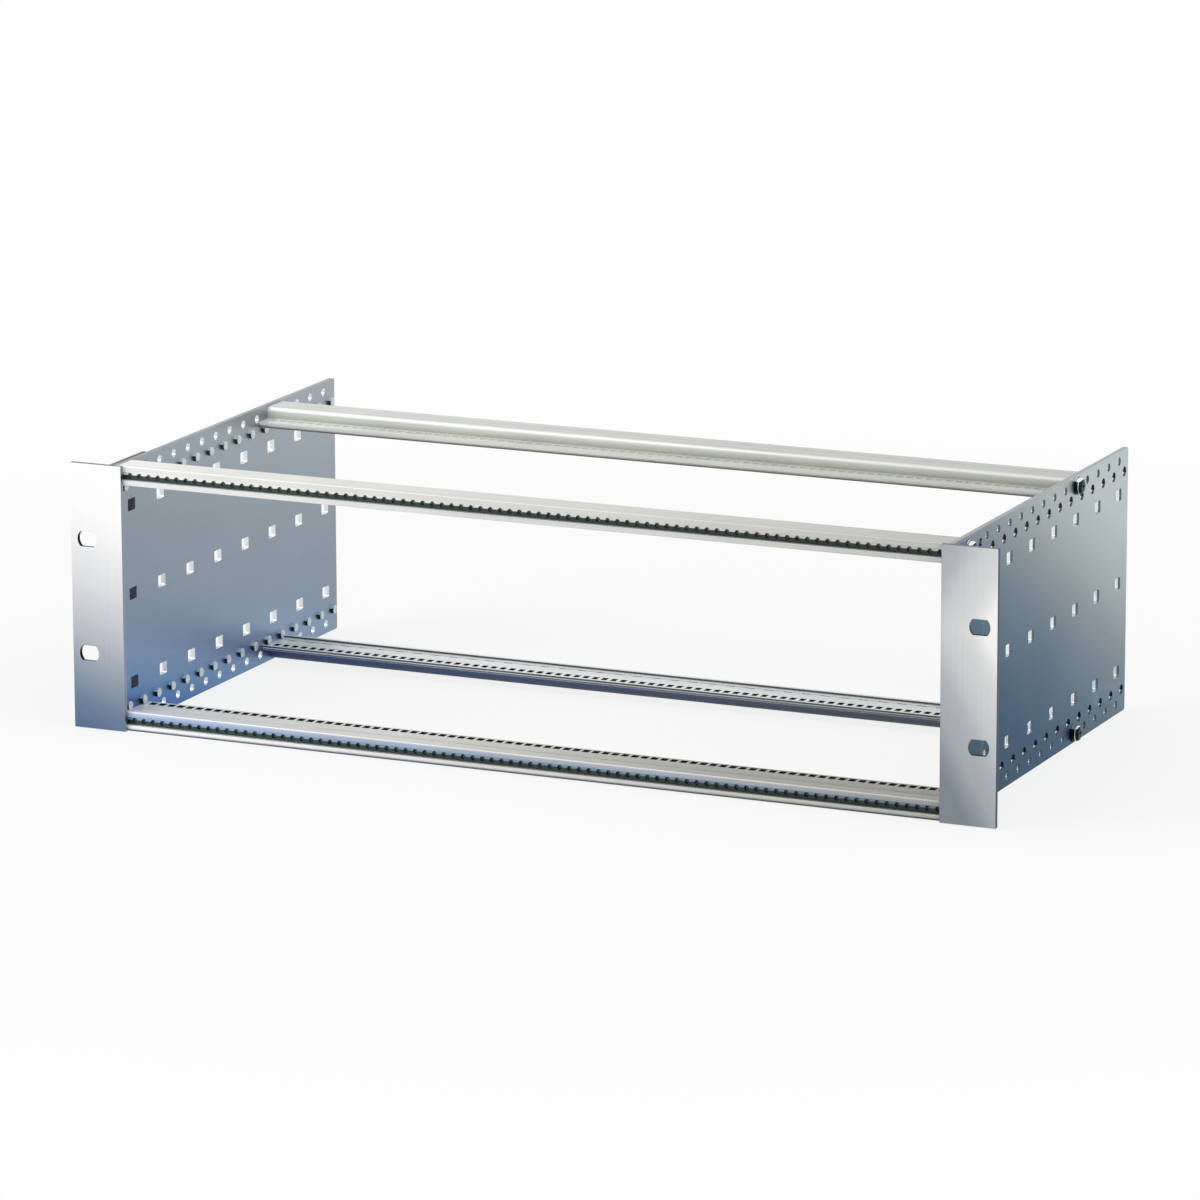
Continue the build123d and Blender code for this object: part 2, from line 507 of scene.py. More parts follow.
@dataclass(frozen=True)
class Metal:
    """A metal finish, whose colours carry painted light and shade besides its own tone.

    Attributes:
        name: the material's name.
        slot: the record's material slot; not used.
        tone: the colours of its outer faces, with painted reflection and shade along a slanted height.
        grain: lines or specks per metre along x, y and z.
        second_tone: the painted light or shade of some faces, by the way they turn.
        second_faces: which faces those are.
        second_turn: how far a face's normal has to point that way, from 0 to 1.
        right_tone: the second tone at the rack's right end, where its painted light changes along the rack.
        metallic: how much of it mirrors its surroundings, where the rest is matt.
        contrast: how far the grain lightens and darkens the colour.
        glance_tint: what a glancing view keeps of the light, as red, green and blue.
        roughness: how dull it is.
        dulling: how far the mottle changes the roughness.
        relief: the grain's height.
        side_fall: painted shade, how much darker it gets for each metre to the right.
        patches: the mottle's patches per metre along x, y and z.
    """

    name: str
    slot: str
    tone: Tone
    grain: Point
    second_tone: Tone | None = None
    second_faces: Facing = Facing.INWARD
    second_turn: float = 0.5
    right_tone: Tone | None = None
    metallic: float = 1.0
    contrast: float = 0.08
    glance_tint: Point = (1.0, 1.0, 1.0)
    roughness: float = 0.35
    dulling: float = 0.08
    relief: float = 0.01
    side_fall: float = 0.0
    patches: Point = (20.0, 20.0, 20.0)

    def _chosen(self, graph: Graph, across: object, facing: bpy.types.NodeOutputs) -> Socket:
        """Tells the faces of the second tone, which is painted light or shade.

        Args:
            graph: the material's nodes.
            across: the point's x.
            facing: the X, Y and Z of the face's normal.

        Returns:
            A mask that is 1 on those faces.
        """
        if self.second_faces is Facing.INWARD:
            return graph.math("LESS_THAN", graph.math("MULTIPLY", across, facing["X"]), 0.0)
        if self.second_faces is Facing.SIDEWAYS:
            return graph.math("LESS_THAN", graph.math("ABSOLUTE", facing["Y"]), 1 - self.second_turn)
        if self.second_faces is Facing.FORWARD:
            return graph.math("LESS_THAN", facing["Y"], -self.second_turn)
        return graph.math("GREATER_THAN", facing["Z"], self.second_turn)

    def _colour(self, graph: Graph) -> Socket:
        """Lays the tones on, with their painted light and shade.

        Args:
            graph: the material's nodes.

        Returns:
            The colour without its grain.
        """
        places = graph.add("ShaderNodeTexCoord").outputs
        place = places["Object"]
        colour = self.tone.wire(graph, place)
        across = graph.parts(place)["X"]
        if self.second_tone is not None:
            second = self.second_tone.wire(graph, place)
            if self.right_tone is not None:
                along = graph.math("MULTIPLY_ADD", across, 1 / RACK_WIDTH, 0.5)
                second = graph.blend(along, second, self.right_tone.wire(graph, place))
            colour = graph.blend(self._chosen(graph, across, graph.parts(places["Normal"])), colour, second)
        # Painted shade: darker towards the rack's right end.
        if self.side_fall:
            colour = graph.scale(colour, graph.math("MULTIPLY_ADD", across, -self.side_fall, 1.0))
        return colour

    def material(self) -> bpy.types.Material:
        """Builds the finish.

        Returns:
            Its material.
        """
        material = bpy.data.materials.new(self.name)
        graph = Graph.of(material)
        grain = GRAIN.lay(graph, self.grain)
        mottle = MOTTLE.lay(graph, self.patches)
        shade = graph.math("MULTIPLY_ADD", grain, self.contrast, 1 - self.contrast / 2)
        patch = graph.math("MULTIPLY_ADD", mottle, self.contrast / 2, 1 - self.contrast / 4)
        dull = graph.math("MULTIPLY_ADD", mottle, self.dulling, self.roughness - self.dulling / 2)
        bump = graph.add("ShaderNodeBump", {"Height": grain, "Distance": self.relief * MM, "Strength": 1.0})
        surface = graph.add(
            "ShaderNodeBsdfPrincipled",
            {
                "Base Color": graph.scale(self._colour(graph), graph.math("MULTIPLY", shade, patch)),
                "Metallic": self.metallic,
                "Roughness": dull,
                "Specular Tint": (*self.glance_tint, 1.0),
                "Normal": bump.outputs[0],
            },
        )
        graph.output("ShaderNodeOutputMaterial", surface.outputs[0])
        return material


# Painted reflection: the flange front goes from blue-grey at the bottom to white at the top, and its
# sideways faces are painted dark, lighter only at the plate's inner edge.
LEFT_FLANGE_METAL = Metal(
    name="brushed flange left",
    slot="flange_metal",
    tone=Tone(
        slant=(0.35, 0.0, 1.0),
        stops=(
            (-84.0, 90, 118, 150), (-69.0, 116, 134, 159), (-49.0, 158, 169, 182), (-30.0, 197, 199, 207),
            (-3.0, 230, 231, 233), (20.0, 251, 251, 252), (30.0, 255, 255, 255),
        ),
    ),
    # Painted shade on the faces that turn sideways.
    second_tone=Tone(
        slant=(1.0, 0.0, 0.0),
        stops=((-241.3, 40, 50, 66), (-218.0, 44, 54, 68), (-216.0, 142, 152, 164)),
    ),
    second_faces=Facing.SIDEWAYS,
    second_turn=0.2,
    grain=(2600.0, 2600.0, 14.0),
    contrast=0.05,
    roughness=0.30,
    relief=0.004,
)
# Painted highlight: the right flange's front has a pale band across z 93, greyer above and below it, and its
# sideways faces are painted dark.
RIGHT_FLANGE_METAL = replace(
    LEFT_FLANGE_METAL,
    name="brushed flange right",
    tone=Tone(
        slant=(1.75, 0.0, -1.0),
        fold=93.0,
        stops=(
            (306.0, 132, 140, 149), (318.0, 150, 156, 164), (331.0, 169, 174, 180), (344.0, 174, 179, 184),
            (354.0, 181, 185, 189), (365.0, 197, 200, 202), (376.0, 207, 210, 211), (388.0, 213, 216, 216),
            (400.0, 226, 227, 227), (410.0, 246, 246, 245),
        ),
    ),
    second_tone=Tone(((0.0, 28, 36, 52), (124.0, 46, 60, 76), (132.5, 34, 50, 96))),
    contrast=0.09,
    relief=0.006,
)
FLANGE_METAL = {Side.LEFT: LEFT_FLANGE_METAL, Side.RIGHT: RIGHT_FLANGE_METAL}
# Painted reflection and shade: the outer faces go from dark blue at the bottom front to light grey at the
# top rear, and the inner faces from painted blue low at the front to grey higher up.
PANEL_METAL = Metal(
    name="rolled panel",
    slot="panel_metal",
    tone=Tone(
        slant=(0.0, 0.55, 1.0),
        stops=(
            (-40.0, 36, 66, 86), (6.0, 46, 78, 103), (29.0, 63, 91, 111), (50.0, 86, 107, 121),
            (72.0, 110, 124, 134), (95.0, 138, 146, 148), (116.0, 161, 168, 169), (128.0, 173, 179, 178),
            (161.0, 195, 200, 197),
        ),
    ),
    second_tone=Tone(
        slant=(0.0, 0.2, 1.0),
        stops=(
            (-22.0, 52, 90, 152), (-8.0, 82, 119, 172), (2.0, 110, 143, 179), (15.0, 134, 155, 186),
            (27.0, 140, 158, 180), (40.0, 139, 153, 168), (81.0, 148, 157, 165), (117.0, 160, 168, 174),
            (135.0, 166, 172, 177),
        ),
    ),
    grain=(420.0, 24.0, 900.0),
    contrast=0.05,
    glance_tint=(0.80, 0.88, 0.97),
    roughness=0.36,
    relief=0.004,
)
# The punched walls: lighter upward and darker along the panel's top edge; the front-facing walls carry a
# painted highlight, and on the right panel painted shade on the outer part of the sheet.
CUT_EDGE = Metal(
    name="cut edge",
    slot="panel_metal",
    tone=Tone(((0.0, 176, 186, 194), (126.0, 214, 219, 220), (131.0, 138, 144, 147))),
    second_tone=Tone(
        slant=(1.0, 0.0, 0.0),
        stops=(
            (215.9, 226, 231, 234), (217.1, 250, 252, 252), (217.2, 116, 128, 135), (218.4, 104, 117, 124),
        ),
    ),
    second_faces=Facing.FORWARD,
    grain=(900.0, 900.0, 900.0),
    roughness=0.3,
)
# Painted highlight and shade: the pips' tips are light and their front-facing sides dark.
PIP_SHADING = Metal(
    name="pressed pip",
    slot="panel_metal",
    tone=Tone(((0.0, 206, 213, 216), (132.0, 214, 218, 218))),
    second_tone=Tone(((0.0, 92, 108, 124), (132.0, 124, 132, 136))),
    second_faces=Facing.FORWARD,
    second_turn=0.7,
    metallic=0.4,
    grain=(700.0, 700.0, 700.0),
    roughness=0.34,
)
# Painted shade inside the press marks, with a painted highlight on the walls that face up.
PRESS_MARK_SHADING = Metal(
    name="press mark",
    slot="panel_metal",
    tone=Tone(((0.0, 40, 52, 60), (132.0, 62, 72, 74))),
    second_tone=Tone(((0.0, 214, 222, 230), (132.0, 238, 242, 242))),
    second_faces=Facing.UPWARD,
    second_turn=0.3,
    grain=(700.0, 700.0, 700.0),
    roughness=0.4,
)
# The rails' own pale colour with painted light and shade: darker towards the right, and painted bands of
# shadow, white highlight and blue reflection across the front-facing faces, greyer at the right end.
FRONT_RAIL_METAL = Metal(
    name="drawn front rail",
    slot="rail_metal",
    tone=Tone(
        slant=(0.1, 0.0, 1.0),
        stops=(
            (-24.0, 240, 240, 236), (-8.0, 234, 234, 229), (18.0, 176, 175, 167), (32.0, 172, 170, 162),
            (105.0, 224, 224, 222), (154.0, 214, 213, 205),
        ),
    ),
    second_tone=Tone((
        (0.1, 58, 68, 96), (1.0, 84, 94, 120), (1.3, 246, 246, 246), (2.9, 246, 246, 246),
        (7.1, 148, 167, 204), (9.2, 180, 194, 222), (9.6, 250, 250, 250), (122.7, 226, 225, 228),
        (132.5, 224, 224, 220),
    )),
    second_faces=Facing.FORWARD,
    right_tone=Tone((
        (0.1, 60, 62, 58), (1.0, 94, 96, 90), (1.3, 212, 214, 206), (2.9, 203, 207, 199),
        (7.1, 172, 174, 172), (9.2, 190, 190, 186), (9.6, 246, 246, 242), (122.7, 222, 222, 218),
        (132.5, 220, 219, 212),
    )),
    grain=(6.0, 620.0, 1400.0),
    metallic=0.35,
    contrast=0.16,
    roughness=0.42,
    relief=0.005,
    side_fall=1.1,
)
# Painted light and shade on the rear rails: a navy shadow band, a white reflection line in the groove and
# dark lines on the front-facing faces, greyer at the right end.
REAR_RAIL_METAL = replace(
    FRONT_RAIL_METAL,
    name="drawn rear rail",
    tone=Tone(((0.0, 232, 236, 238), (20.0, 230, 233, 233), (123.0, 234, 236, 232), (132.0, 206, 208, 203))),
    second_tone=Tone((
        (6.9, 58, 76, 120), (7.9, 68, 88, 128), (8.0, 250, 252, 255), (8.75, 250, 252, 255),
        (8.8, 66, 76, 80), (9.5, 74, 84, 86), (122.9, 96, 96, 98), (123.9, 120, 120, 120),
        (124.2, 240, 240, 238), (125.6, 240, 240, 238), (125.8, 176, 179, 169), (129.0, 214, 217, 210),
        (130.0, 240, 240, 236),
    )),
    right_tone=Tone((
        (6.9, 92, 98, 104), (7.9, 128, 134, 136), (8.0, 196, 200, 196), (8.75, 190, 194, 188),
        (8.8, 70, 76, 76), (9.5, 92, 98, 98), (122.9, 96, 96, 96), (123.9, 124, 124, 122),
        (124.2, 232, 232, 226), (125.6, 228, 228, 220), (125.8, 170, 174, 162), (129.0, 204, 208, 198),
        (130.0, 232, 232, 226),
    )),
    side_fall=0.6,
)
# Painted shade in the slot walls and pocket floors: dark on the lower rails, light on the upper ones.
SLOT_SHADE = Metal(
    name="painted slot shade",
    slot="rail_metal",
    tone=Tone(((0.0, 22, 30, 32), (40.0, 26, 34, 36), (90.0, 190, 192, 188), (132.0, 200, 201, 197))),
    grain=(900.0, 900.0, 900.0),
    metallic=0.2,
    roughness=0.5,
)
# Painted reflection: the screws and washers are dark all over as if mirroring a dark surround, with a
# painted highlight on the faces that turn up.
SCREW_REFLECTION = Metal(
    name="black zinc",
    slot="screw_steel",
    tone=Tone(((0.0, 14, 30, 36), (132.0, 20, 42, 46))),
    second_tone=Tone(((0.0, 206, 214, 216), (132.0, 236, 240, 236))),
    second_faces=Facing.UPWARD,
    second_turn=0.62,
    grain=(500.0, 500.0, 500.0),
    contrast=0.06,
    roughness=0.18,
    dulling=0.10,
    relief=0.002,
)
# Painted highlight on the floor of the driver's cross.
CROSS_GLINT = Metal(
    name="painted cross glint",
    slot="screw_steel",
    tone=Tone(((0.0, 200, 208, 212), (132.0, 224, 230, 230))),
    grain=(500.0, 500.0, 500.0),
    roughness=0.25,
)


class Assembly:
    """Hands finished pieces over to the frame."""

    def __init__(self) -> None:
        """Starts with no material made."""
        self.materials: dict[str, bpy.types.Material] = {}
        self.count = 0

    def _coat(self, piece: Piece, metal: Metal) -> None:
        """Adds a finish to a piece's materials.

        Args:
            piece: the piece.
            metal: the finish, whose material is made once.
        """
        if metal.name not in self.materials:
            self.materials[metal.name] = metal.material()
        piece.data.materials.append(self.materials[metal.name])

    def paint(self, piece: Piece, metal: Metal, test: Test) -> None:
        """Gives the faces that pass a test a finish of their own.

        Args:
            piece: a piece that has its main finish.
            metal: the finish of the chosen faces.
            test: says which faces those are.
        """
        self._coat(piece, metal)
        Bench.select(piece, Pick.FACES, test)
        piece.active_material_index = len(piece.data.materials) - 1
        bpy.ops.object.material_slot_assign()
        Bench.close()

    def fit(self, piece: Piece, metal: Metal, *nodes: str) -> None:
        """Dresses a piece and lets it stand for its CAD nodes.

        Args:
            piece: the finished piece.
            metal: its finish.
            nodes: the CAD nodes that it replaces.
        """
        piece.data.materials.clear()
        self._coat(piece, metal)
        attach(piece, BODY)
        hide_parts(*nodes)
        self.count += 1
        log.info("%s: %d faces, for %s", piece.name, len(piece.data.polygons), ", ".join(nodes))


@dataclass(frozen=True)
class Grid:
    """The hole grid that all pieces share.

    Attributes:
        pitch: between screw holes along the panel.
        first_hole: the y of the first hole.
        holes: how many holes each row has.
        edge: from the panel's edge to a row of holes.
        hole: the diameter of a screw's clearance hole.
        unit: one rack unit.
        card_pitch: between two slots or tapped holes across the rack.
        opening: the clear width between the flanges.
    """

    pitch: float = 15.0
    first_hole: float = -103.7
    holes: int = 15
    edge: float = 5.0
    hole: float = 4.2
    unit: float = 44.45
    card_pitch: float = 5.08
    opening: float = 426.72


@dataclass
class EndPiece:
    """A piece at one end of the rack.

    Attributes:
        grid: the shared hole grid.
        side: the end that it is at.
    """

    KIND: ClassVar[str]

    grid: Grid
    side: Side

    def __post_init__(self) -> None:
        """Reads the piece's box from the frame."""
        self.node = f"{self.side.word}_{self.KIND}"
        low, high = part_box(self.node)
        self.front = low.y / MM
        self.back = high.y / MM
        self.height = high.z / MM
        self.outer = max(abs(low.x), abs(high.x)) / MM

    def point(self, out: float, y: float, z: float) -> Vector:
        """Returns a point from its distance out from the rack's middle plane."""
        return metres(self.side.value * out, y, z)

    def rows(self, tool: Piece, count: int, line: float) -> None:
        """Repeats a tool in a row at one distance from the lower edge and from the upper."""
        Bench.repeat(tool, count, metres(0, self.grid.pitch, 0))
        Bench.repeat(tool, 2, metres(0, 0, self.height - 2 * line))

    def drill(self, piece: Piece, middle: float, thickness: float, count: int) -> None:
        """Drills two rows of screw holes through a wall.

        Args:
            piece: the piece to drill.
            middle: how far out the wall's middle is.
            thickness: the wall's thickness.
            count: how many holes each row has.
        """
        centre = self.point(middle, self.grid.first_hole, self.grid.edge)
        drill = Bench.rod("drill", centre, Axis.X, self.grid.hole, 3 * thickness, sides=28)
        self.rows(drill, count, self.grid.edge)
        Bench.carve(piece, drill, Carve.CUT)


@dataclass
class SidePanel(EndPiece):
    """A punched and pressed side panel.

    Attributes:
        sheet: its thickness.
        rear_corner: the round of its two rear corners.
        window_depth: a window's size along the panel.
        window_height: a window's height.
        window_corner: the round of a window's corners.
        pip: the diameter of a pressed pip.
        pip_rise: how far a pip stands in.
        pip_round: the round of a pip's tip.
        pip_line: from the panel's edge to a row of pips.
        dimple: the diameter of the press mark behind a pip.
        dimple_round: the round of its floor.
        edge_break: the break of the punched edges.
        wall_turn: how much of x the normal of a punched wall's face may have.
    """

    KIND: ClassVar[str] = "side_panel"

    sheet: float = 2.5
    rear_corner: float = 1.0
    window_depth: float = 7.5
    window_height: float = 6.0
    window_corner: float = 0.7
    pip: float = 4.6
    pip_rise: float = 1.8
    pip_round: float = 0.45
    pip_line: float = 11.3
    dimple: float = 5.0
    dimple_round: float = 0.8
    edge_break: float = 0.16
    wall_turn: float = 0.5

    def __post_init__(self) -> None:
        """Reads the panel's box and finds its inner face."""
        super().__post_init__()
        self.inner = self.outer - self.sheet

    def _plate(self) -> Piece:
        """Cuts the sheet out and rounds its rear corners.

        Returns:
            The blank sheet.
        """
        blank = Bench.block(
            f"panel_{self.side.word}",
            self.point(self.inner, self.front, 0),
            self.point(self.outer, self.back, self.height),
        )
        back = self.back * MM

        def rear(edge: bmesh.types.BMEdge) -> bool:
            """Picks the two short edges at the back."""
            one, other = [vert.co for vert in edge.verts]
            return max(abs(one.y - back), abs(other.y - back), abs(one.z - other.z)) < TOUCH

        Bench.round_edges(blank, rear, self.rear_corner, steps=6)
        return blank

    def _press(self, plate: Piece) -> None:
        """Presses the pips: a boss on the inside, and behind it a mark in the outside.

        Args:
            plate: the sheet.
        """
        first = self.grid.first_hole - self.grid.pitch / 2
        root = self.sheet / 2
        boss = Bench.rod(
            "boss",
            self.point(self.inner + (root - self.pip_rise) / 2, first, self.pip_line),
            Axis.X,
            self.pip,
            self.pip_rise + root,
            sides=24,
        )
        mark_centre = self.point(self.outer, first, self.pip_line)
        mark = Bench.rod("press mark", mark_centre, Axis.X, self.dimple, 2 * self.pip_rise, sides=24)
        for tool, base, corner, way in (
            (boss, self.inner, self.pip_round, Carve.WELD),
            (mark, self.outer, self.dimple_round, Carve.CUT),
        ):
            Bench.round_edges(tool, at_distance(base - self.pip_rise), corner, steps=5)
            self.rows(tool, self.grid.holes + 1, self.pip_line)
            Bench.carve(plate, tool, way)

    def _punch(self, plate: Piece) -> None:
        """Punches the windows, in three rows a rack unit apart.

        Args:
            plate: the sheet.
        """
        first, low = self.grid.first_hole, self.height / 2 - self.grid.unit
        half_depth, half_height = self.window_depth / 2, self.window_height / 2
        window = Bench.block(
            "window punch",
            self.point(self.inner - self.sheet, first - half_depth, low - half_height),
            self.point(self.outer + self.sheet, first + half_depth, low + half_height),
        )
        Bench.round_edges(window, along_x(2 * self.sheet), self.window_corner, steps=5)
        Bench.repeat(window, (self.grid.holes + 1) // 2, metres(0, 2 * self.grid.pitch, 0))
        Bench.repeat(window, 3, metres(0, 0, self.grid.unit))
        Bench.carve(plate, window, Carve.CUT)

    def _in_dimple(self, face: Face) -> bool:
        """Says whether a face is inside one of the press marks.

        Args:
            face: a face of the finished panel.

        Returns:
            Whether the face is below the outer face and within a press mark's round.
        """
        centre = face.calc_center_median() / MM
        rise = min(abs(centre.z - self.pip_line), abs(centre.z - self.height + self.pip_line))
        along = (centre.y - self.grid.first_hole) / self.grid.pitch + 0.5
        off = abs(along - round(along)) * self.grid.pitch
        inside = math.hypot(rise, off) < self.dimple / 2 + MARGIN
        return inside and self.inner - self.pip_rise / 2 < abs(centre.x) < self.outer - HAIR

    def build(self, assembly: Assembly) -> None:
        """Makes the panel and fits it.

        Args:
            assembly: takes the finished panel.
        """
        plate = self._plate()
        self._press(plate)
        self.drill(plate, (self.inner + self.outer) / 2, self.sheet, self.grid.holes)
        self._punch(plate)
        Bench.soften(plate, self.edge_break)
        assembly.fit(plate, PANEL_METAL, self.node)
        # Painted light and shade: the punched walls, the pips and the press marks get their own lit and
        # shaded colours.
        assembly.paint(plate, CUT_EDGE, lambda face: abs(face.normal.x) < self.wall_turn)
        assembly.paint(plate, PIP_SHADING, lambda face: out_of(face) < self.inner - HAIR)
        assembly.paint(plate, PRESS_MARK_SHADING, self._in_dimple)


@dataclass
class RackFlange(EndPiece):
    """An extruded rack flange: a plate with the rack's slots, and a leg that lies on the side panel.

    Attributes:
        plate: the plate's thickness.
        leg: the leg's thickness.
        leg_inner: from the middle plane to the panel's outer face.
        leg_back: the y of the leg's free edge.
        leg_root: the round where the leg meets the plate.
        leg_holes: how many holes along the leg.
        slot_line: from the middle plane to the slots.
        slot_rise: between the two slots.
        slot_round: the diameter of the circle that a slot is cut from.
        slot_height: between a slot's flats.
        edge_break: the break of the edges.
        outward: how much of x the normal of the leg's outward faces has at least.
    """

    KIND: ClassVar[str] = "flange"

    plate: float = 2.5
    leg: float = 2.5
    leg_inner: float = 218.4
    leg_back: float = -82.0
    leg_root: float = 1.0
    leg_holes: int = 2
    slot_line: float = 232.55
    slot_rise: float = 57.15
    slot_round: float = 10.4
    slot_height: float = 7.6
    edge_break: float = 0.35
    outward: float = 0.9

    def _section(self) -> Piece:
        """Welds the leg to the plate and rounds its root.

        Returns:
            The flange without its holes.
        """
        behind = self.front + self.plate
        leg_outer = self.leg_inner + self.leg
        piece = Bench.block(
            f"rack_flange_{self.side.word}",
            self.point(self.grid.opening / 2, self.front, 0),
            self.point(self.outer, behind, self.height),
        )
        leg = Bench.block(
            "leg",
            self.point(self.leg_inner, behind - self.plate / 2, 0),
            self.point(leg_outer, self.leg_back, self.height),
        )
        Bench.carve(piece, leg, Carve.WELD)
        root = self.point(leg_outer, behind, 0)

        def at_root(edge: bmesh.types.BMEdge) -> bool:
            """Picks the upright edge in the corner outside the leg."""
            return all((vert.co - root).xy.length < TOUCH for vert in edge.verts)

        Bench.round_edges(piece, at_root, self.leg_root, steps=5)
        return piece

    def _cut_slots(self, piece: Piece) -> None:
        """Cuts the rack's slots: rounds with two flats.

        Args:
            piece: the flange.
        """
        low = self.height / 2 - self.slot_rise / 2
        centre = self.point(self.slot_line, self.front + self.plate / 2, low)
        tool = Bench.rod("slot tool", centre, Axis.Y, self.slot_round, 3 * self.plate, sides=40)
        for up in (-1, 1):
            Bench.select(tool, Pick.FACES)
            flat = centre + metres(0, 0, up * self.slot_height / 2)
            bpy.ops.mesh.bisect(plane_co=flat, plane_no=(0, 0, up), use_fill=True, clear_outer=True)
            Bench.close()
        Bench.repeat(tool, 2, metres(0, 0, self.slot_rise))
        Bench.carve(piece, tool, Carve.CUT)

    def build(self, assembly: Assembly) -> None:
        """Makes the flange and fits it.

        Args:
            assembly: takes the finished flange.
        """
        piece = self._section()
        self._cut_slots(piece)
        self.drill(piece, self.leg_inner + self.leg / 2, self.leg, self.leg_holes)
        Bench.soften(piece, self.edge_break)
        assembly.fit(piece, FLANGE_METAL[self.side], self.node)
        behind = (self.front + self.plate + self.leg_root) * MM

        def outside_leg(face: Face) -> bool:
            """Picks the leg's outward faces."""
            turned = self.side.value * face.normal.x > self.outward
            return turned and face.calc_center_median().y > behind

        # The leg's outward faces take the side panel's painted reflection and shade.
        assembly.paint(piece, PANEL_METAL, outside_leg)


@dataclass(frozen=True)
class Row:
    """A row of oblong openings in a rail's web.

    Attributes:
        line: the y of the row's middle line.
        length: an opening's size along x.
        width: an opening's size along y.
        depth: how deep it goes in from the web's inner face.
        every: how many card pitches there are from one to the next.
    """

    line: float
    length: float
    width: float
    depth: float
    every: int = 1


FRONT_SLOTS = Row(line=-94.4, length=3.5, width=4.4, depth=2.5)
REAR_SLOTS = {
    Edge.BOTTOM: Row(line=40.2, length=3.0, width=4.4, depth=2.5),
    Edge.TOP: Row(line=40.2, length=3.0, width=2.2, depth=2.5),
}
REAR_POCKETS = Row(line=51.6, length=4.6, width=1.0, depth=0.45, every=2)


@dataclass
class Rail:
    """A drawn rail, taken from its CAD solid, with its slots opened out and the die's rounds added.

    Attributes:
        grid: the shared hole grid.
        end: front or rear.
        edge: the panel's edge that it lies along.
        metal: its finish.
        slots: its slots, which go right through the web.
        pockets: a row of shallow pockets, where it has one.
        web_face: from the panel's edge to the web's inner face.
        edge_break: the round of the section's corners.
        wall_turn: how much of z the normal of a slot's wall may have.
    """

    grid: Grid
    end: str
    edge: Edge
    metal: Metal
    slots: Row
    pockets: Row | None = None
    web_face: float = 8.9
    edge_break: float = 0.12
    wall_turn: float = 0.6

    def __post_init__(self) -> None:
        """Reads the panels' height from the frame."""
        self.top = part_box("left_side_panel")[1].z / MM

    def _height(self, rise: float) -> float:
        """Returns the z of a height measured in from the rail's edge of the panel."""
        return rise if self.edge is Edge.BOTTOM else self.top - rise

    def _punch(self, piece: Piece, row: Row) -> None:
        """Punches a row of openings.

        Args:
            piece: the rail.
            row: the openings.
        """
        count = round(self.grid.opening / self.grid.card_pitch / row.every)
        pitch = self.grid.card_pitch * row.every
        first = -(count - 1) / 2 * pitch
        length, width = row.length / 2, row.width / 2
        tool = Bench.block(
            "oblong punch",
            metres(first - length, row.line - width, self._height(self.web_face - row.depth)),
            metres(first + length, row.line + width, self._height(self.web_face + CLEAR)),
        )
        Bench.repeat(tool, count, metres(pitch, 0, 0))
        Bench.carve(piece, tool, Carve.CUT)

    def _in_opening(self, face: Face) -> bool:
        """Says whether a face is a slot's wall or a pocket's floor.

        Args:
            face: a face of the finished rail.

        Returns:
            Whether it is one of them.
        """
        centre = face.calc_center_median() / MM
        in_slot = abs(centre.y - self.slots.line) < self.slots.width / 2 + MARGIN
        if in_slot and abs(face.normal.z) < self.wall_turn:
            return True
        if self.pockets is None:
            return False
        return abs(centre.z - self._height(self.web_face - self.pockets.depth)) < MARGIN

    def build(self, assembly: Assembly) -> None:
        """Merges a copy of the solid's faces, punches it, rounds its corners and fits it.

        Args:
            assembly: takes the finished rail.
        """
        node = f"{self.end}_{self.edge.value}_rail"
        piece = Bench.copy(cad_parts[node], f"rail_{self.end}_{self.edge.value}")
        for key in list(piece.keys()):
            del piece[key]
        piece.parent = None
        Bench.select(piece, Pick.FACES)
        bpy.ops.mesh.remove_doubles(threshold=MERGE * MM)
        bpy.ops.mesh.customdata_custom_splitnormals_clear()
        bpy.ops.mesh.dissolve_limited(angle_limit=FLAT)
        Bench.close()
        self._punch(piece, self.slots)
        if self.pockets is not None:
            self._punch(piece, self.pockets)
        Bench.soften(piece, self.edge_break)
        assembly.fit(piece, self.metal, node)
        # Painted shade in the slot walls and pocket floors.
        assembly.paint(piece, SLOT_SHADE, self._in_opening)


